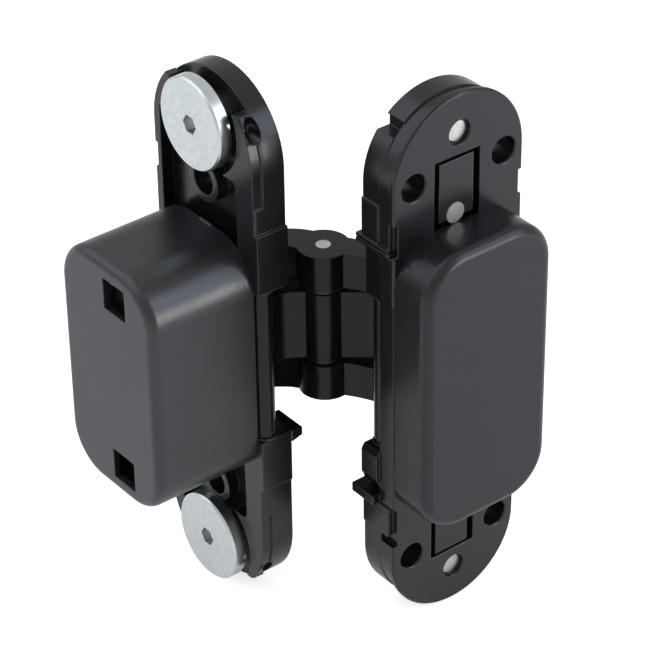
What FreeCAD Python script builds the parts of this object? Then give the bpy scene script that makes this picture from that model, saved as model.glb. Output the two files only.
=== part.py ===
import FreeCAD, Part
import os
from math import cos, sin, radians, sqrt

# Concealed door hinge with two mortised halves and a pair of crossing hooked arms, in mm.
# The frame half is the still one: its front face is the plane y = 0, its back is towards -y,
# z runs up the hinge and the door opens on the +x side. It is drawn opened to ninety degrees.

Vec = FreeCAD.Vector

# Outline of both halves
body_height = 110.0
body_width = 29.5
half_height = body_height / 2.0
half_width = body_width / 2.0
frame_front_trim = 0.45
door_front_trim = 0.8
door_middle_trim = 1.2
door_rim_depth = 7.2
opening_half = 16.2
rim_width = 2.1
rim_inside = half_width - rim_width
notch_depth = 1.0
notch_high = half_height - 20.3
notch_low = notch_high - 5.4
edge_break = 0.35
hole_break = 0.25
past = 60.0

# Frame half
frame_lug_depth = 6.8
frame_pocket_floor = 4.3
frame_box_depth = 29.1
frame_box_half_width = half_width - 0.75
frame_box_half_height = opening_half + 8.6
box_corner_radius = 9.0
box_end_fillet = 1.8
box_wall = 1.3
cheek_thickness = 2.6
cheek_end_gap = 1.0
cheek_side_gap = 0.8
window_low = 15.3
window_high = 21.7
window_near = 6.2
window_far = -0.3
window_depth = 3.0
tab_near = 2.4
tab_far = -1.1
tab_proud = 0.5
tab_overlap = 0.3
tab_rise = 0.25
disc_height = half_height - 9.7
disc_radius = 8.85
disc_thickness = 2.5
disc_edge = 0.35
disc_shank_radius = 3.5
disc_shank_recess = 0.6
hex_across_flats = 3.3
hex_depth = 2.2
disc_pocket_radius = disc_radius + 1.45
pocket_near = 9.6
pocket_low = opening_half + 3.3
pocket_top = half_height - 18.2
pocket_far_top = half_height - 12.0
pocket_corner = 1.5
lug_step_height = half_height - 4.7
ring_height = half_height - 21.9
ring_radius = 4.2
ring_hole_radius = 2.85
shoulder_far = 8.6
upper_shoulder = opening_half + 12.1
upper_shoulder_proud = 0.6
lower_shoulder = opening_half + 11.0
lower_shoulder_proud = 0.35
lip_reach = 2.3
lip_far = 8.3
lip_thin = 1.7
lip_thick = 2.3
side_recess = 0.35
side_recess_front = 4.75
side_recess_low = half_height - 21.6
side_recess_high = half_height - 9.0
toe_hole_radius = 1.6
toe_hole_height = half_height - 7.6
toe_hole_depth = 5.0
toe_hole_run = 7.2
toe_hole_lead = 2.0
toe_hole_drop = 1.5
toe_hole_way = Vec(-0.92, 0, 0.39)

# Door half
door_origin = Vec(26.3, 22.9, 0)
door_lug_depth = 8.3
door_layer_depth = 4.4
door_box_depth = 17.2
door_box_half_width = half_width - 0.15
door_box_half_height = opening_half + 13.3
door_end_fillet = 2.0
door_end_wall = 0.9
screw_hole_edge = 4.55
screw_hole_offset = half_width - screw_hole_edge
screw_hole_height = half_height - 15.1
screw_hole_radius = 2.6
set_screw_height = half_height - 7.7
set_screw_radius = 2.0
set_screw_well_radius = 2.45
set_screw_recess = 1.0
set_screw_proud = 0.05
set_screw_front = 0.8
tongue_window_near = 5.6
tongue_window_far = -4.7
tongue_window_top = half_height - 12.0
tongue_window_gap = 2.0
tongue_near = 4.5
tongue_far = -3.2
tongue_top = tongue_window_top - 0.7
tongue_length = 11.7
tongue_foot = tongue_top - tongue_length
tongue_screw_height = half_height - 23.4
tongue_screw_offset = -0.9
tongue_screw_proud = 0.15
ridge_low = opening_half + 10.95
ridge_height = 1.55
ridge_high = ridge_low + ridge_height
ridge_groove = 0.3
ridge_proud = 0.6
ridge_reach = 1.35
ridge_width = 6.0
upper_step_length = 7.7
upper_step = ridge_high + upper_step_length
upper_step_proud = 0.35
lower_step_proud = 0.3
back_rebate = 1.0
back_rebate_depth = 1.2
near_wall_thickness = 1.4
side_root = 3.0
collar_proud = 0.7
collar_slope_top = 1.0
collar_slope_foot = 1.6
collar_end = opening_half + 7.7
shelf_top = opening_half + 9.45
shelf_thickness = 1.85
shelf_bottom = shelf_top + shelf_thickness
lower_step_length = 6.3
lower_step = shelf_bottom + lower_step_length
shelf_proud = 1.5
shelf_reach = 1.8
shelf_width = 7.0
relief_under_collar = 1.6
relief_under_ridge = 0.6
relief_end_gap = 0.7
relief_over_layer = 0.2
pocket_by_step_width = 1.0
pocket_by_step_height = 2.2
pocket_layer_gap = 0.4
slit_low = half_height - 6.4
slit_high = half_height - 4.1
slit_inside = 8.8

# Linkage, plan positions with the door at ninety degrees
frame_pivot = Vec(13.0, -4.5, 0)
centre = Vec(8.2, 13.4, 0)
door_pivot_near = 11.7
door_pivot_depth = 2.2
door_pivot = door_origin + Vec(door_pivot_depth, -door_pivot_near, 0)
frame_slide = Vec(-2.0, -6.2, 0)
door_slide = door_origin + Vec(2.8, 1.4, 0)
arm_turn_per_quarter = 72.0
fork_turn_per_quarter = 39.0
closed_turn = 90.0
open_turn = 80.0
barrel_radius = 2.0
bush_length = 0.5
bush_wall = 1.1
end_play = 0.1
barrel_half = opening_half - bush_length - end_play
middle_knuckle_radius = 4.5
fork_knuckle_radius = 5.0
middle_half = 7.2
washer_thickness = 1.0
washer_radius = 4.3
fork_inner = middle_half + end_play + washer_thickness
fork_outer = barrel_half
pivot_pin_radius = 1.2
pivot_pin_half = 23.0
centre_pin_radius = 1.4
slide_pin_radius = 0.9
slide_boss_radius = 1.3
slide_eye_wall = 0.4
sleeve_radius = 1.35

# Fits
running = 0.05
slide_gap = 0.25
side_gap = 0.15


def block(x0, x1, y0, y1, z0, z1):
    return Part.makeBox(x1 - x0, y1 - y0, z1 - z0, Vec(x0, y0, z0))


def rod(radius, low, high, at):
    return Part.makeCylinder(radius, high - low, Vec(at.x, at.y, low), Vec(0, 0, 1))


def bolt(radius, x, z, y0, y1):
    return Part.makeCylinder(radius, y1 - y0, Vec(x, y0, z), Vec(0, 1, 0))


def stadium(wide, high, y0, y1):
    straight = high - wide
    middle = block(-wide, wide, y0, y1, -straight, straight)
    upper = bolt(wide, 0, straight, y0, y1)
    lower = bolt(wide, 0, -straight, y0, y1)
    return middle.fuse([upper, lower]).removeSplitter()


def along_depth(solid):
    return [e for e in solid.Edges if abs(e.tangentAt(e.FirstParameter).y) > 0.99]


def rounded_box(wide, high, radius, y0, y1):
    solid = block(-wide, wide, y0, y1, -high, high)
    return solid.makeFillet(radius, along_depth(solid))


def back_edges(solid, y):
    found = []
    for edge in solid.Edges:
        if abs(edge.BoundBox.YMin - y) < 1e-6 and abs(edge.BoundBox.YMax - y) < 1e-6:
            found.append(edge)
    return found


def box_cover(wide, high, depth, seat, fillet, end_wall):
    outer = rounded_box(wide, high, box_corner_radius, -depth, -seat)
    outer = outer.makeFillet(fillet, back_edges(outer, -depth))
    inner_radius = box_corner_radius - box_wall
    inner = rounded_box(wide - box_wall, high - box_wall, inner_radius,
                        -depth + end_wall, -seat + 1)
    return outer.cut(inner)


def flipped(solid):
    return solid.mirror(Vec(0, 0, 0), Vec(0, 0, 1))


def mirror_pair(solid):
    return [solid, flipped(solid)]


def one(solids):
    return solids[0].fuse(solids[1:]).removeSplitter()


def layer(trim, y0, y1):
    # one layer of those that make a half, each a round-ended plate of its own height
    return stadium(half_width, half_height - trim, y0, y1)


def rim_layer(y0, y1):
    # the full-size layer at the back of a half, its outer edge broken at y0
    solid = layer(0, y0, y1)
    return solid.makeChamfer(edge_break, back_edges(solid, y0))


def broken_hole(radius, x, z, back):
    # a plain hole right through, its rim on the back face broken
    flare = Part.makeCone(radius + hole_break, radius, hole_break, Vec(x, -back, z), Vec(0, 1, 0))
    mouth = bolt(radius + hole_break, x, z, -back - 1, -back)
    return one([bolt(radius, x, z, -past, past), flare, mouth])


def turned(point, about, degrees):
    c, s = cos(radians(degrees)), sin(radians(degrees))
    d = point - about
    return Vec(about.x + c * d.x - s * d.y, about.y + s * d.x + c * d.y, 0)


def linkage(turn):
    # turn is the door angle past ninety degrees; closing is negative
    share = turn / 90.0
    middle_turn = -arm_turn_per_quarter * share
    fork_turn = -fork_turn_per_quarter * share
    centre_now = turned(centre, frame_pivot, middle_turn)
    fork_shift = centre_now - centre
    pivot_now = turned(door_pivot, centre, fork_turn) + fork_shift
    frame_end = turned(frame_slide, centre, fork_turn) + fork_shift
    door_end = turned(door_slide, frame_pivot, middle_turn)
    door_end = turned(door_end - pivot_now + door_pivot, door_pivot, turn)
    return frame_end, door_end


def slide_path(which):
    steps = 24
    turns = [-closed_turn + (closed_turn + open_turn) * i / steps for i in range(steps + 1)]
    return [linkage(t)[which] for t in turns]


def ribbon(points, widths, low, high):
    # a flat strip of changing width along a smooth middle line, with straight sides up z
    middle = Part.BSplineCurve()
    middle.interpolate(points)
    last = middle.LastParameter
    spans = len(points) - 1
    knots = [middle.parameter(p) for p in points]
    left, right = [], []
    for i in range(spans):
        for j in range(3):
            part = j / 3.0
            u = knots[i] + (knots[i + 1] - knots[i]) * part
            half = widths[i] + (widths[i + 1] - widths[i]) * part
            at, way = middle.value(u), middle.tangent(u)[0]
            across = Vec(-way.y, way.x, 0)
            left.append(at + across * half)
            right.append(at - across * half)
    at, way = middle.value(last), middle.tangent(last)[0]
    across = Vec(-way.y, way.x, 0)
    left.append(at + across * widths[-1])
    right.append(at - across * widths[-1])
    side_a, side_b = Part.BSplineCurve(), Part.BSplineCurve()
    side_a.interpolate(left)
    side_b.interpolate(right)
    edges = [side_a.toShape(), Part.makeLine(left[-1], right[-1]), side_b.toShape(),
             Part.makeLine(right[0], left[0])]
    face = Part.Face(Part.Wire(Part.__sortEdges__(edges)))
    face.translate(Vec(0, 0, low))
    return face.extrude(Vec(0, 0, high - low))


def slot(path, reach, low, high):
    # a curved slot with round ends, reaching this far to both sides of its path
    strip = ribbon(path, [reach] * len(path), low, high)
    return one([strip, rod(reach, low, high, path[0]), rod(reach, low, high, path[-1])])


def to_door(solid):
    # door pieces are drawn about their own front face, then stood at ninety degrees
    placed = solid.copy()
    placed.rotate(Vec(0, 0, 0), Vec(0, 0, 1), 90)
    placed.translate(door_origin)
    return placed


def from_door(point):
    d = point - door_origin
    return Vec(d.y, -d.x, 0)


def write(name, solids):
    os.makedirs("parts", exist_ok=True)
    shape = solids[0] if len(solids) == 1 else Part.makeCompound(solids)
    shape.exportStep("parts/" + name + ".step")


# Frame half, the casting let into the door frame
frame_body = one([layer(frame_front_trim, -frame_pocket_floor, 0),
                  rim_layer(-frame_lug_depth, -frame_pocket_floor)])
shoulders = [block(shoulder_far, half_width + upper_shoulder_proud, -frame_lug_depth, 0,
                   opening_half, upper_shoulder),
             block(shoulder_far, half_width + lower_shoulder_proud, -frame_lug_depth, 0,
                   -lower_shoulder, -opening_half)]
cheek_depth = frame_box_depth - box_wall - cheek_end_gap
cheek_half = frame_box_half_width - box_wall - cheek_side_gap
cheeks = mirror_pair(block(-cheek_half, cheek_half, -cheek_depth, -frame_lug_depth + 1,
                           opening_half, opening_half + cheek_thickness))
frame_body = one([frame_body] + shoulders + cheeks)
frame_body = frame_body.cut(block(-rim_inside, past, -past, past, -opening_half, opening_half))

# Pockets in its back: one round each disc and one running down behind the cover
main_pocket = block(-rim_inside, pocket_near, -past, -frame_pocket_floor, pocket_low, pocket_top)
pocket_middle = (pocket_low + pocket_top) / 2.0
upper_edges = [e for e in along_depth(main_pocket) if e.CenterOfMass.z > pocket_middle]
near_corner = [e for e in upper_edges if e.CenterOfMass.x > 0]
main_pocket = main_pocket.makeFillet(pocket_corner, near_corner)
frame_pockets = mirror_pair(main_pocket)
frame_pockets += mirror_pair(bolt(disc_pocket_radius, 0, disc_height, -past, -frame_pocket_floor))
frame_pockets += mirror_pair(block(-rim_inside, -ring_radius, -past, -frame_pocket_floor,
                                   pocket_low, pocket_far_top))
frame_pockets += mirror_pair(block(-past, past, -past, -frame_pocket_floor,
                                   lug_step_height, half_height + 1))
frame_body = frame_body.cut(frame_pockets)
disc_room = bolt(disc_radius + slide_gap, 0, disc_height, -past, -frame_pocket_floor)
ring = bolt(ring_radius, 0, ring_height, -frame_lug_depth, -frame_pocket_floor + 1)
rings = mirror_pair(ring.cut(disc_room))
frame_body = one([frame_body] + rings)

# Holes for the screws, disc shanks, slide pin and pivot pin, and the slanted toe holes
frame_holes = mirror_pair(bolt(ring_hole_radius, 0, ring_height, -past, past))
frame_holes += mirror_pair(bolt(disc_shank_radius + running, 0, disc_height, -past, past))
toe_from = Vec(half_width + toe_hole_lead, -toe_hole_depth, toe_hole_height - toe_hole_drop)
toe_hole = Part.makeCylinder(toe_hole_radius, toe_hole_run, toe_from, toe_hole_way)
frame_holes += mirror_pair(toe_hole)
side_band = stadium(half_width + past, half_height + past, -past, -side_recess_front)
side_band = side_band.cut(stadium(half_width - side_recess, half_height - side_recess,
                                  -past, 0))
side_band = side_band.common(block(0, past, -past, 0, side_recess_low, side_recess_high))
frame_holes += mirror_pair(side_band)
frame_holes += [rod(pivot_pin_radius, -pivot_pin_half, pivot_pin_half, frame_pivot)]
notch = block(-past, -half_width + notch_depth, -past, past, notch_low, notch_high)
frame_holes += mirror_pair(notch)
frame_track = slide_path(0)
frame_slots = mirror_pair(slot(frame_track, sleeve_radius + slide_gap,
                               opening_half - 1, opening_half + cheek_thickness + 1))
frame_body = frame_body.cut(frame_holes + frame_slots)

# Ledge lip under the opening of the frame half, standing past the front face
lip = Part.makePolygon([Vec(lip_far, 0, -opening_half), Vec(lip_far, lip_reach, -opening_half),
                        Vec(lip_far, lip_reach, -opening_half - lip_thin),
                        Vec(lip_far, 0, -opening_half - lip_thick), Vec(lip_far, 0, -opening_half)])
lip = Part.Face(lip).extrude(Vec(half_width + upper_shoulder_proud - lip_far, 0, 0))
frame_body = one([frame_body, lip])
write("frame_body", [frame_body])

# Deep box cover behind the frame half
frame_cover = box_cover(frame_box_half_width, frame_box_half_height, frame_box_depth,
                        frame_lug_depth, box_end_fillet, box_wall)
windows = mirror_pair(block(window_far, window_near, -frame_box_depth - 1,
                            -frame_box_depth + window_depth, window_low, window_high))
tab = block(tab_far, tab_near, -frame_lug_depth - tab_proud, -frame_lug_depth,
            frame_box_half_height - tab_overlap, frame_box_half_height + tab_rise)
frame_cover = frame_cover.cut(windows).fuse(tab)
write("frame_cover", [frame_cover])

# Clamp discs on the back of the frame half
for name, height in (("disc_upper", disc_height), ("disc_lower", -disc_height)):
    disc = bolt(disc_radius, 0, height, -frame_lug_depth - disc_thickness, -frame_lug_depth)
    disc = disc.makeChamfer(disc_edge, back_edges(disc, -frame_lug_depth - disc_thickness))
    shank = bolt(disc_shank_radius, 0, height, -frame_lug_depth, -disc_shank_recess)
    corners = []
    for i in range(7):
        a = radians(60 * i)
        reach = hex_across_flats / sqrt(3)
        corners.append(Vec(reach * cos(a), 0, height + reach * sin(a)))
    socket = Part.Face(Part.makePolygon(corners))
    socket.translate(Vec(0, -frame_lug_depth - disc_thickness, 0))
    socket = socket.extrude(Vec(0, hex_depth, 0))
    write(name, [one([disc, shank]).cut(socket)])

# Pivot pin and end bushes of the frame half
write("frame_pivot_pin", [rod(pivot_pin_radius, -pivot_pin_half, pivot_pin_half, frame_pivot)])


def bushes(at):
    ring = rod(pivot_pin_radius + bush_wall, barrel_half + end_play, opening_half, at)
    ring = ring.cut(rod(pivot_pin_radius, 0, past, at))
    return mirror_pair(ring)


write("frame_bushes", bushes(frame_pivot))

# Middle arm: barrel on the frame pin, hook, knuckle and tail running into the door half
middle_hook = [frame_pivot, Vec(9.9, -2.4, 0), Vec(6.5, 0.0, 0), Vec(4.3, 3.2, 0),
               Vec(4.6, 6.8, 0), Vec(6.5, 10.1, 0), centre]
middle_hook_half = [1.4, 1.4, 1.7, 2.0, 2.1, 2.3, 2.6]
middle_tail = [centre, Vec(10.8, 15.5, 0), Vec(14.4, 19.1, 0), Vec(19.3, 22.3, 0),
               Vec(24.9, 24.6, 0), door_slide]
middle_tail_half = [2.6, 2.5, 2.1, 1.6, 1.1, 1.1]
arm = [rod(barrel_radius, -barrel_half, barrel_half, frame_pivot)]
arm += [ribbon(middle_hook, middle_hook_half, -middle_half, middle_half)]
arm += [ribbon(middle_tail, middle_tail_half, -middle_half, middle_half)]
arm += [rod(middle_knuckle_radius, -middle_half, middle_half, centre)]
arm += [rod(slide_boss_radius, -middle_half, middle_half, door_slide)]
middle_arm = one(arm)
middle_arm = middle_arm.cut([rod(pivot_pin_radius + running, -past, past, frame_pivot),
                             rod(centre_pin_radius + running, -past, past, centre),
                             rod(slide_pin_radius, -past, past, door_slide)])
write("middle_arm", [middle_arm])

# Fork arm: barrel on the door pin and two leaves above and below the middle arm
fork_hook = [door_pivot, Vec(29.2, 14.4, 0), Vec(27.5, 17.9, 0), Vec(23.0, 20.1, 0),
             Vec(17.2, 19.1, 0), Vec(11.9, 16.6, 0), centre]
fork_hook_half = [1.8, 1.4, 1.5, 1.9, 2.3, 2.8, 2.8]
fork_tail = [centre, Vec(4.2, 11.6, 0), Vec(0.8, 8.0, 0), Vec(-1.3, 3.4, 0),
             Vec(-2.0, -1.5, 0), frame_slide]
fork_tail_half = [3.0, 3.2, 3.0, 2.4, 1.9, 1.7]
leaf = one([ribbon(fork_hook, fork_hook_half, fork_inner, fork_outer),
            ribbon(fork_tail, fork_tail_half, fork_inner, fork_outer),
            rod(fork_knuckle_radius, fork_inner, fork_outer, centre),
            rod(slide_boss_radius + slide_eye_wall, fork_inner, fork_outer, frame_slide)])
fork = mirror_pair(leaf)
fork += [rod(barrel_radius, -barrel_half, barrel_half, door_pivot)]
fork_arm = one(fork)
fork_arm = fork_arm.cut([rod(pivot_pin_radius + running, -past, past, door_pivot),
                         rod(centre_pin_radius, -past, past, centre),
                         rod(slide_pin_radius, -past, past, frame_slide)])
write("fork_arm", [fork_arm])

# Centre pin and the two thin washers between the knuckles
write("centre_pin", [rod(centre_pin_radius, -fork_outer, fork_outer, centre)])
washer = rod(washer_radius, middle_half + end_play, fork_inner, centre)
washer = washer.cut(rod(centre_pin_radius, 0, past, centre))
write("knuckle_washers", mirror_pair(washer))

# Slide pins with a plain sleeve at each end, one pin per half
slot_top = opening_half + cheek_thickness


def slide_pin(at):
    return [rod(slide_pin_radius, -slot_top, slot_top, at)]


def sleeves(at):
    ring = rod(sleeve_radius, opening_half + side_gap, slot_top, at)
    return mirror_pair(ring.cut(rod(slide_pin_radius, 0, past, at)))


write("frame_slide_pin", slide_pin(frame_slide))
write("frame_slide_sleeves", sleeves(frame_slide))
write("door_slide_pin", slide_pin(door_slide))
write("door_slide_sleeves", sleeves(door_slide))

# Door half, the shallower casting let into the door leaf
door_pivot_here = from_door(door_pivot)
near_side = -half_width
door_body = one([layer(door_front_trim, -door_layer_depth, 0),
                 layer(door_middle_trim, -door_rim_depth, -door_layer_depth),
                 rim_layer(-door_lug_depth, -door_rim_depth)])
door_cheek_depth = door_box_depth - door_end_wall
door_cheek_half = door_box_half_width - box_wall - side_gap
door_cheeks = mirror_pair(block(-door_cheek_half, door_cheek_half, -door_cheek_depth,
                                -door_lug_depth + 1, opening_half,
                                opening_half + cheek_thickness))
door_body = one([door_body] + door_cheeks)
door_body = door_body.cut(block(-past, rim_inside, -past, past, -opening_half, opening_half))

# Steps, ridge, collar and shelf on its near side
near_wall = block(near_side, near_side + near_wall_thickness, -door_lug_depth,
                  -door_layer_depth - 0.1, -opening_half - 1, opening_half + 1)
ridge = block(near_side - ridge_proud, near_side + ridge_width, -door_lug_depth, ridge_reach,
              ridge_low, ridge_high)
groove_low = (ridge_low + ridge_high - ridge_groove) / 2.0
ridge_cut = block(near_side - past, near_side - ridge_proud + ridge_groove, -past, past,
                  groove_low, groove_low + ridge_groove)
upper_side = block(near_side - upper_step_proud, near_side + side_root, -door_layer_depth, 0,
                   ridge_high - 0.1, upper_step)
lower_side = block(near_side - lower_step_proud, near_side + side_root, -door_lug_depth, 0,
                   -lower_step, -shelf_bottom + 0.1)
collar_out = near_side - collar_proud
collar_root = near_side + side_root
collar = Part.makePolygon([Vec(collar_root, 0, -opening_half), Vec(near_side, 0, -opening_half),
                           Vec(collar_out, 0, -opening_half - collar_slope_top),
                           Vec(collar_out, 0, -collar_end + collar_slope_foot),
                           Vec(near_side, 0, -collar_end), Vec(collar_root, 0, -collar_end),
                           Vec(collar_root, 0, -opening_half)])
collar = Part.Face(collar).extrude(Vec(0, -door_layer_depth, 0))
shelf = block(near_side - shelf_proud, near_side + shelf_width, -door_layer_depth, shelf_reach,
              -shelf_bottom, -shelf_top)
door_body = one([door_body, near_wall, ridge.cut(ridge_cut), upper_side, lower_side, collar, shelf])
out = near_side - past
side_cuts = [block(out, near_side + relief_under_collar, -door_layer_depth, 1,
                   -shelf_top, -collar_end),
             block(out, near_side + relief_under_ridge, -door_layer_depth - relief_over_layer, 1,
                   opening_half, ridge_low - relief_end_gap),
             block(out, near_side + pocket_by_step_width, -door_lug_depth - 1,
                   -door_layer_depth - pocket_layer_gap,
                   -lower_step - pocket_by_step_height, -lower_step)]
side_cuts += mirror_pair(block(out, near_side + back_rebate, -door_lug_depth - 1,
                               -door_lug_depth + back_rebate_depth, shelf_bottom, lower_step))
door_body = door_body.cut(side_cuts)

# Screw holes, adjuster holes, tongue windows, pin hole and slots
door_cuts = mirror_pair(broken_hole(screw_hole_radius, screw_hole_offset, screw_hole_height,
                                    door_lug_depth))
door_cuts += mirror_pair(broken_hole(screw_hole_radius, -screw_hole_offset, screw_hole_height,
                                     door_lug_depth))
door_cuts += mirror_pair(bolt(set_screw_radius + running, 0, set_screw_height, -past, past))
door_cuts += mirror_pair(bolt(set_screw_well_radius, 0, set_screw_height, -past,
                              -door_lug_depth + set_screw_recess))
door_cuts += mirror_pair(block(-tongue_window_near, -tongue_window_far, -past,
                               -door_layer_depth, opening_half + cheek_thickness + tongue_window_gap,
                               tongue_window_top))
door_cuts += mirror_pair(block(half_width - notch_depth, past, -past, past, notch_low, notch_high))
door_cuts += mirror_pair(block(-past, -slit_inside, -door_layer_depth, 1, slit_low, slit_high))
door_cuts += [rod(pivot_pin_radius, -pivot_pin_half, pivot_pin_half, door_pivot_here)]
door_track = [from_door(p) for p in slide_path(1)]
door_cuts += mirror_pair(slot(door_track, sleeve_radius + slide_gap,
                              opening_half - 1, opening_half + cheek_thickness + 1))
door_body = door_body.cut(door_cuts)
write("door_body", [to_door(door_body)])

# Shallow box cover behind the door half
door_cover = box_cover(door_box_half_width, door_box_half_height, door_box_depth,
                       door_lug_depth, door_end_fillet, door_end_wall)
write("door_cover", [to_door(door_cover)])

write("door_pivot_pin", [rod(pivot_pin_radius, -pivot_pin_half, pivot_pin_half, door_pivot)])
write("door_bushes", bushes(door_pivot))

# Adjusting tongues showing through the windows of the door half, with their screws
for name, flip in (("upper", 1), ("lower", -1)):
    tongue = block(-tongue_near, -tongue_far, -door_lug_depth, -door_layer_depth - side_gap,
                   tongue_foot, tongue_top)
    tongue_hole = bolt(set_screw_radius, tongue_screw_offset, tongue_screw_height, -past, 0)
    tongue = tongue.cut(tongue_hole)
    tongue_screw = bolt(set_screw_radius, tongue_screw_offset, tongue_screw_height,
                        -door_lug_depth - tongue_screw_proud, -door_layer_depth - side_gap)
    set_screw = bolt(set_screw_radius, 0, set_screw_height,
                     -door_lug_depth + set_screw_recess - set_screw_proud, -set_screw_front)
    pieces = [tongue, tongue_screw, set_screw]
    if flip < 0:
        pieces = [flipped(p) for p in pieces]
    write("tongue_" + name, [to_door(pieces[0])])
    write("tongue_screw_" + name, [to_door(pieces[1])])
    write("set_screw_" + name, [to_door(pieces[2])])
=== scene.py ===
import math

import bpy
from mathutils import Matrix, Vector


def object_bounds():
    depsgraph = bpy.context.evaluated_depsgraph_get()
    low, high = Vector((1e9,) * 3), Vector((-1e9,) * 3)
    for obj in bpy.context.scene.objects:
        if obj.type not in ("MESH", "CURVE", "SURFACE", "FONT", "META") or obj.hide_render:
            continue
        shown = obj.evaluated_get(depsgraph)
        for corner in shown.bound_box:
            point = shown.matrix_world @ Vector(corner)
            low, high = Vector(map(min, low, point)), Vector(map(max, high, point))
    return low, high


# Concealed door hinge, dressed for the picture: every solid of the model keeps its shape and
# gets its finish here, one section for each piece or group of like pieces.
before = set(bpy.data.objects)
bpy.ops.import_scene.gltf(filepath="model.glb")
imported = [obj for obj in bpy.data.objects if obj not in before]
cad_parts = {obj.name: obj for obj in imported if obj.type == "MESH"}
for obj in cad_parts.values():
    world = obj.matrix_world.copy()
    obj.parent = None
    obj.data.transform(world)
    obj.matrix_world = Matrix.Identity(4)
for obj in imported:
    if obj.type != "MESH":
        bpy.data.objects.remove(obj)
cad_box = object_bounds()

# Frame half body and door half body
# Two zinc die castings with a baked black powder coat: satin, with the fine orange peel of
# powder that has flowed. The corners are painted a little greyer, a painted highlight.
MM = 0.001
POWDER_BLACK = "111214"
POWDER_THIN = "191a1c"
EDGE_HIGHLIGHT_GREY = "4a4c50"
POWDER_PEEL_MM = 1.1
POWDER_GRAIN_MM = 0.22
GRAIN_HEIGHT_MM = 0.012
PATCH_MM = 14
CORNER_ROUND_MM = 0.3
# How far the rounded normal leans off the flat one where the painted highlight starts and is full.
HIGHLIGHT_STARTS, HIGHLIGHT_FULL, HIGHLIGHT_SHARE = 0.97, 0.86, 0.5
# Grain and patches together run between these two values; they make the coat duller or shinier.
SPECKLE_LOW, SPECKLE_HIGH, DULL_SPREAD = 0.65, 1.35, 0.06
# The two colour sockets of a Mix node, and its colour output.
FIRST_COLOUR, SECOND_COLOUR, MIXED_COLOUR = 6, 7, 2


def linear(hex_colour):
    """The linear colour of an sRGB hex value."""
    channels = [int(hex_colour[i:i + 2], 16) / 255 for i in (0, 2, 4)]
    return [c / 12.92 if c <= 0.04045 else ((c + 0.055) / 1.055) ** 2.4 for c in channels] + [1]


def add(material, kind, settings=None, links=None):
    """Adds one node to a material, with its settings and what feeds its inputs."""
    tree = material.node_tree
    node = tree.nodes.new(kind)
    for name, value in (settings or {}).items():
        if isinstance(name, str) and hasattr(node, name) and name not in node.inputs:
            setattr(node, name, value)
        else:
            node.inputs[name].default_value = value
    for name, source in (links or {}).items():
        tree.links.new(source, node.inputs[name])
    return node


def bare_material(name):
    """A material with no node in it yet."""
    material = bpy.data.materials.new(name)
    material.use_nodes = True
    material.node_tree.nodes.clear()
    return material


def finish_shader(material, settings, links):
    """The Principled shader of a finish, joined to the material's output."""
    shader = add(material, "ShaderNodeBsdfPrincipled", settings, links)
    add(material, "ShaderNodeOutputMaterial", None, {"Surface": shader.outputs[0]})


def paint_node(node, material):
    """Puts a finish on a solid of the model."""
    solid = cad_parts[node]
    solid.data.materials.clear()
    solid.data.materials.append(material)


def coated_casting(name, colour, thin, peel_mm, grain_mm, dullness, peel_height_mm, sheen=0.5):
    """A coat or moulded skin: slow peel, fine grain, duller patches and a painted highlight on the
    corners.
    """
    coat = bare_material(name)
    place = add(coat, "ShaderNodeTexCoord").outputs["Object"]
    peel = add(coat, "ShaderNodeTexNoise", {"Scale": 1 / (peel_mm * MM), "Detail": 2.0},
               {"Vector": place})
    grain = add(coat, "ShaderNodeTexNoise", {"Scale": 1 / (grain_mm * MM), "Detail": 3.0},
                {"Vector": place})
    patches = add(coat, "ShaderNodeTexNoise", {"Scale": 1 / (PATCH_MM * MM), "Detail": 4.0},
                  {"Vector": place})
    tone = add(coat, "ShaderNodeMix",
               {"data_type": "RGBA", FIRST_COLOUR: linear(colour), SECOND_COLOUR: linear(thin)},
               {"Factor": patches.outputs[0]})
    speckle = add(coat, "ShaderNodeMath", {"operation": "ADD"},
                  {0: grain.outputs[0], 1: patches.outputs[0]})
    dull = add(coat, "ShaderNodeMapRange",
               {"From Min": SPECKLE_LOW, "From Max": SPECKLE_HIGH,
                "To Min": dullness - DULL_SPREAD, "To Max": dullness + DULL_SPREAD},
               {"Value": speckle.outputs[0]})
    corner = add(coat, "ShaderNodeBevel", {"samples": 6, "Radius": CORNER_ROUND_MM * MM})
    flat = add(coat, "ShaderNodeNewGeometry").outputs["Normal"]
    turned = add(coat, "ShaderNodeVectorMath", {"operation": "DOT_PRODUCT"},
                 {0: corner.outputs[0], 1: flat})
    # Painted highlight: where the rounded normal turns off the flat one, the colour is mixed
    # towards a lighter grey.
    edge_highlight = add(coat, "ShaderNodeMapRange",
               {"From Min": HIGHLIGHT_STARTS, "From Max": HIGHLIGHT_FULL, "To Max": HIGHLIGHT_SHARE},
               {"Value": turned.outputs["Value"]})
    highlighted_tone = add(coat, "ShaderNodeMix", {"data_type": "RGBA", SECOND_COLOUR: linear(EDGE_HIGHLIGHT_GREY)},
                {"Factor": edge_highlight.outputs[0], FIRST_COLOUR: tone.outputs[MIXED_COLOUR]})
    relief = add(coat, "ShaderNodeBump", {"Strength": 0.5, "Distance": peel_height_mm * MM},
                 {"Height": peel.outputs[0], "Normal": corner.outputs[0]})
    skin = add(coat, "ShaderNodeBump", {"Strength": 0.5, "Distance": GRAIN_HEIGHT_MM * MM},
               {"Height": grain.outputs[0], "Normal": relief.outputs[0]})
    finish_shader(coat, {"IOR": 1.5, "Specular IOR Level": sheen},
                  {"Base Color": highlighted_tone.outputs[MIXED_COLOUR], "Roughness": dull.outputs[0],
                   "Normal": skin.outputs[0]})
    return coat


half_coat = coated_casting("black_powder_coat", POWDER_BLACK, POWDER_THIN, POWDER_PEEL_MM,
                           POWDER_GRAIN_MM, dullness=0.23, peel_height_mm=0.02)
for half in ("frame_body", "door_body"):
    paint_node(half, half_coat)

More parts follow.
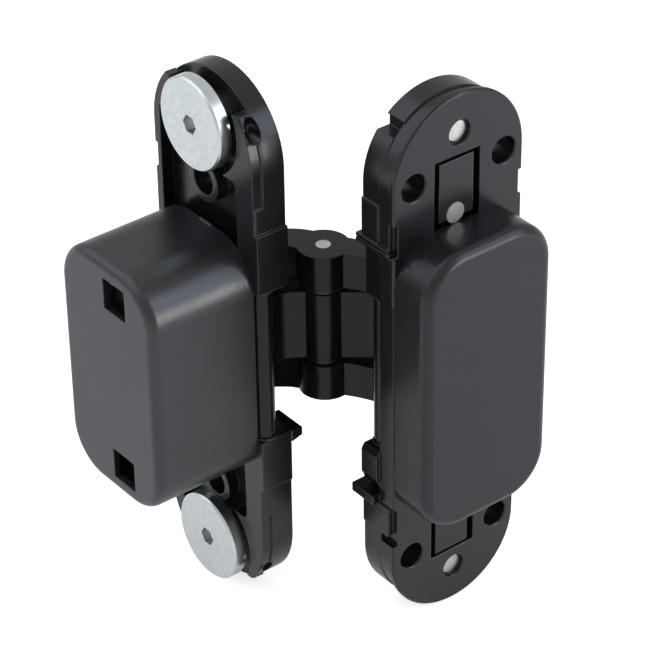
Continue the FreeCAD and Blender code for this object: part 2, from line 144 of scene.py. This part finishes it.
# Box covers
# Deep and shallow caps injection moulded in charcoal nylon with a fine spark-eroded texture,
# pressed on behind each casting. The grain scatters the light into a soft sheen.
COVER_SHADE = "1b1c1e"
COVER_CHARCOAL = "222426"
COVER_GRAIN_MM = 0.36
COVER_PEEL_MM = 2.4
# Painted light: one nylon in two copies; the deep cover's higher sheen stands in for its brighter
# light and the shallow cover's lower sheen for its shade.
deep_moulding = coated_casting("deep_cover_nylon_lit", COVER_SHADE, COVER_CHARCOAL, COVER_PEEL_MM,
                               COVER_GRAIN_MM, dullness=0.31, peel_height_mm=0.012, sheen=0.68)
shallow_moulding = coated_casting("shallow_cover_nylon_shaded", COVER_SHADE, COVER_CHARCOAL,
                                  COVER_PEEL_MM, COVER_GRAIN_MM, dullness=0.29,
                                  peel_height_mm=0.012, sheen=0.42)
paint_node("frame_cover", deep_moulding)
paint_node("door_cover", shallow_moulding)

# Crossed arms
# Two hooked zinc castings with the same black coat as the halves, rubbed smoother. Their black
# and their sheen are set a little lower all over, as painted shade between the halves.
ARM_SHADED_BLACK = "101012"
ARM_SHADED_THIN = "18191a"
ARM_PEEL_MM = 1.4
# Painted shade: a black a touch darker than the halves' and a lower sheen.
arm_coat = coated_casting("rubbed_black_coat_painted_shade", ARM_SHADED_BLACK, ARM_SHADED_THIN, ARM_PEEL_MM, POWDER_GRAIN_MM,
                          dullness=0.24, peel_height_mm=0.02, sheen=0.3)
for arm in ("middle_arm", "fork_arm"):
    paint_node(arm, arm_coat)

# Adjuster tongues
# Small plates cut from the same coated stock as the arms, seen through the windows of the
# door half.
# Painted shade: the tongues take the arms' darker black.
tongue_coat = coated_casting("tongue_black_coat", ARM_SHADED_BLACK, POWDER_THIN, ARM_PEEL_MM,
                             POWDER_GRAIN_MM, dullness=0.25, peel_height_mm=0.02)
for tongue in ("tongue_upper", "tongue_lower"):
    paint_node(tongue, tongue_coat)

# Clamp discs
# Turned steel with bright zinc plating: a cool white metal with lathe rings on the face and
# faint cloudy patches from the bath. Real rings are finer; these are drawn so that they show.
ZINC_WHITE = "eaeeeb"
ZINC_CLOUD = "c4c9c6"
LATHE_RING_MM = 0.693
ZINC_CLOUD_MM = 1.3
DISC_HEIGHT_MM = 45.3
# A wave texture with a scale of 1 draws one ring in this span.
WAVE_SPAN = 2 * math.pi / 20


def zinc_disc(name, height_mm):
    """Zinc plate with rings about the middle of a disc that sits this high."""
    plate = bare_material(name)
    place = add(plate, "ShaderNodeTexCoord").outputs["Object"]
    centred = add(plate, "ShaderNodeMapping", {"Location": (0, 0, -height_mm * MM)},
                  {"Vector": place})
    rings = add(plate, "ShaderNodeTexWave",
                {"wave_type": "RINGS", "rings_direction": "Y",
                 "Scale": WAVE_SPAN / (LATHE_RING_MM * MM),
                 "Distortion": 0.6, "Detail": 1.0, "Detail Scale": 2.0},
                {"Vector": centred.outputs[0]})
    clouds = add(plate, "ShaderNodeTexNoise", {"Scale": 1 / (ZINC_CLOUD_MM * MM), "Detail": 6.0},
                 {"Vector": place})
    tone = add(plate, "ShaderNodeMix",
               {"data_type": "RGBA", FIRST_COLOUR: linear(ZINC_WHITE),
                SECOND_COLOUR: linear(ZINC_CLOUD)},
               {"Factor": clouds.outputs[0]})
    dull = add(plate, "ShaderNodeMapRange", {"To Min": 0.26, "To Max": 0.36},
               {"Value": clouds.outputs[0]})
    relief = add(plate, "ShaderNodeBump", {"Strength": 0.12, "Distance": 0.01 * MM},
                 {"Height": rings.outputs[0]})
    finish_shader(plate, {"Metallic": 1.0},
                  {"Base Color": tone.outputs[MIXED_COLOUR], "Roughness": dull.outputs[0],
                   "Normal": relief.outputs[0]})
    return plate


paint_node("disc_upper", zinc_disc("zinc_plated_disc_upper", DISC_HEIGHT_MM))
paint_node("disc_lower", zinc_disc("zinc_plated_disc_lower", -DISC_HEIGHT_MM))

# Pins and adjuster screw ends
# Cut steel wire and screw ends, zinc plated, slightly uneven where they were cut or riveted,
# with a warm cast beside the discs.
PIN_STEEL = "e6e3da"
PIN_DULL = "b4b1a8"
PIN_MARK_MM = 0.8
cut_steel = bare_material("cut_zinced_steel")
steel_place = add(cut_steel, "ShaderNodeTexCoord").outputs["Object"]
steel_marks = add(cut_steel, "ShaderNodeTexNoise", {"Scale": 1 / (PIN_MARK_MM * MM), "Detail": 6.0},
                  {"Vector": steel_place})
steel_tone = add(cut_steel, "ShaderNodeMix",
                 {"data_type": "RGBA", FIRST_COLOUR: linear(PIN_STEEL),
                  SECOND_COLOUR: linear(PIN_DULL)},
                 {"Factor": steel_marks.outputs[0]})
steel_dull = add(cut_steel, "ShaderNodeMapRange", {"To Min": 0.25, "To Max": 0.5},
                 {"Value": steel_marks.outputs[0]})
steel_relief = add(cut_steel, "ShaderNodeBump", {"Strength": 0.4, "Distance": 0.02 * MM},
                   {"Height": steel_marks.outputs[0]})
finish_shader(cut_steel, {"Metallic": 1.0},
              {"Base Color": steel_tone.outputs[MIXED_COLOUR], "Roughness": steel_dull.outputs[0],
               "Normal": steel_relief.outputs[0]})
for pin in ("frame_pivot_pin", "door_pivot_pin", "centre_pin", "frame_slide_pin", "door_slide_pin",
            "tongue_screw_upper", "tongue_screw_lower", "set_screw_upper", "set_screw_lower"):
    paint_node(pin, cut_steel)

# Bushes, washers and sleeves
# Turned from black acetal, slick and dark, with a faint unevenness from the tool and a paler
# tone where they rub.
ACETAL_BLACK = "131315"
ACETAL_WORN = "1f2022"
ACETAL_PEEL_MM = 0.8
ACETAL_GRAIN_MM = 0.15
acetal = coated_casting("black_acetal", ACETAL_BLACK, ACETAL_WORN, ACETAL_PEEL_MM,
                        ACETAL_GRAIN_MM, dullness=0.3, peel_height_mm=0.01)
for ring in ("frame_bushes", "door_bushes", "knuckle_washers", "frame_slide_sleeves",
             "door_slide_sleeves"):
    paint_node(ring, acetal)

# Table and surround
# A plain white table just under the hinge and a white surround. Both are white where the
# camera sees them, a little pale in mirrored light, and dimmer as the light they shed.
TABLE_WHITE = "f4f4f4"
TABLE_REACH = 1.2
TABLE_GAP = 0.2 * MM
PLAIN_WHITE = (1, 1, 1, 1)
table_mesh = bpy.data.meshes.new("table")
table_mesh.from_pydata([(-TABLE_REACH, -TABLE_REACH, 0), (TABLE_REACH, -TABLE_REACH, 0),
                        (TABLE_REACH, TABLE_REACH, 0), (-TABLE_REACH, TABLE_REACH, 0)],
                       [], [(0, 1, 2, 3)])
table = bpy.data.objects.new("table", table_mesh)
bpy.context.scene.collection.objects.link(table)
table.location = (0, 0, cad_box[0][2] - TABLE_GAP)


def white_to_the_eye(holder, plain, direct, mirrored):
    """The strength of a background: plain for the light it sheds, more where it is looked at."""
    ray = add(holder, "ShaderNodeLightPath")
    through = add(holder, "ShaderNodeMath", {"operation": "ADD"},
                  {0: ray.outputs["Is Camera Ray"], 1: ray.outputs["Is Transmission Ray"]})
    looked_at = add(holder, "ShaderNodeMapRange", {"To Min": plain, "To Max": direct},
                    {"Value": through.outputs[0]})
    gleam = add(holder, "ShaderNodeMapRange", {"To Max": mirrored - plain},
                {"Value": ray.outputs["Is Glossy Ray"]})
    whole = add(holder, "ShaderNodeMath", {"operation": "ADD"},
                {0: looked_at.outputs[0], 1: gleam.outputs[0]})
    return whole.outputs[0]


table_paint = bare_material("white_table")
matt = add(table_paint, "ShaderNodeBsdfDiffuse", {"Color": linear(TABLE_WHITE)})
table_level = white_to_the_eye(table_paint, plain=0.0, direct=0.7, mirrored=0.2)
glow = add(table_paint, "ShaderNodeEmission", {"Color": PLAIN_WHITE}, {"Strength": table_level})
both = add(table_paint, "ShaderNodeAddShader", None, {0: matt.outputs[0], 1: glow.outputs[0]})
add(table_paint, "ShaderNodeOutputMaterial", None, {"Surface": both.outputs[0]})
table_mesh.materials.append(table_paint)

surround = bpy.data.worlds.new("white_studio")
bpy.context.scene.world = surround
surround.use_nodes = True
surround.node_tree.nodes.clear()
surround_level = white_to_the_eye(surround, plain=0.56, direct=1.0, mirrored=0.6)
sky = add(surround, "ShaderNodeBackground", {"Color": PLAIN_WHITE}, {"Strength": surround_level})
add(surround, "ShaderNodeOutputWorld", None, {"Surface": sky.outputs[0]})

# Studio lamps
# Three square panels with soft light: two small windows on the right, one low and one behind,
# that draw the streaks on the rounded edges, and a broad one high on the left.
HINGE_MIDDLE = Vector((0.014, 0, 0))


def soft_panel(name, place, size, power, tint):
    """A square studio panel lamp that points at the hinge."""
    lamp = bpy.data.lights.new(name, "AREA")
    lamp.size = size
    lamp.energy = power
    lamp.color = linear(tint)[:3]
    panel = bpy.data.objects.new(name, lamp)
    bpy.context.scene.collection.objects.link(panel)
    panel.location = place
    panel.rotation_euler = (HINGE_MIDDLE - panel.location).to_track_quat("-Z", "Y").to_euler()


soft_panel("low_window_right", (0.47, 0.25, 0.035), size=0.17, power=0.58, tint="fafcff")
soft_panel("back_window_right", (0.42, 0.31, 0.30), size=0.34, power=0.8, tint="dce8ff")
soft_panel("high_panel_left", (-0.34, -0.40, 0.60), size=1.0, power=2.8, tint="dce8ff")

# Camera
# A long lens half a metre away, on the right of the deep cover and looking down on it. The
# hinge is not quite in the middle of the picture, so the lens aims a little beside it.
VIEW_TURN, VIEW_LIFT, VIEW_LEAN = 52.94, 34.51, -1.36
EYE_DISTANCE = 0.53114
EYE_ASIDE = 0.27 * MM
PICTURE_PX = 650
FOCAL_PX = 2936.09
AIM_RIGHT_PX, AIM_UP_PX = 37.98, 31.07
SENSOR_MM = 36
turn, lift, lean = (math.radians(a) for a in (VIEW_TURN, VIEW_LIFT, VIEW_LEAN))
side = Vector((math.cos(turn), math.sin(turn), 0))
back = Vector((math.sin(turn) * math.cos(lift), -math.cos(turn) * math.cos(lift), math.sin(lift)))
up = back.cross(side)
side, up = (math.cos(lean) * side + math.sin(lean) * up,
            math.cos(lean) * up - math.sin(lean) * side)
eye = HINGE_MIDDLE + back * EYE_DISTANCE
eye.x += EYE_ASIDE
look = (side * AIM_RIGHT_PX + up * AIM_UP_PX) / FOCAL_PX - back
look.normalize()
right = look.cross(up).normalized()
top = right.cross(look)
lens = bpy.data.cameras.new("product_lens")
lens.sensor_width = SENSOR_MM
lens.lens = FOCAL_PX * SENSOR_MM / PICTURE_PX
camera = bpy.data.objects.new("product_camera", lens)
bpy.context.scene.collection.objects.link(camera)
camera.matrix_world = Matrix((
    (right.x, top.x, -look.x, eye.x), (right.y, top.y, -look.y, eye.y),
    (right.z, top.z, -look.z, eye.z), (0, 0, 0, 1)))
bpy.context.scene.camera = camera
bpy.context.scene.view_settings.view_transform = "Standard"
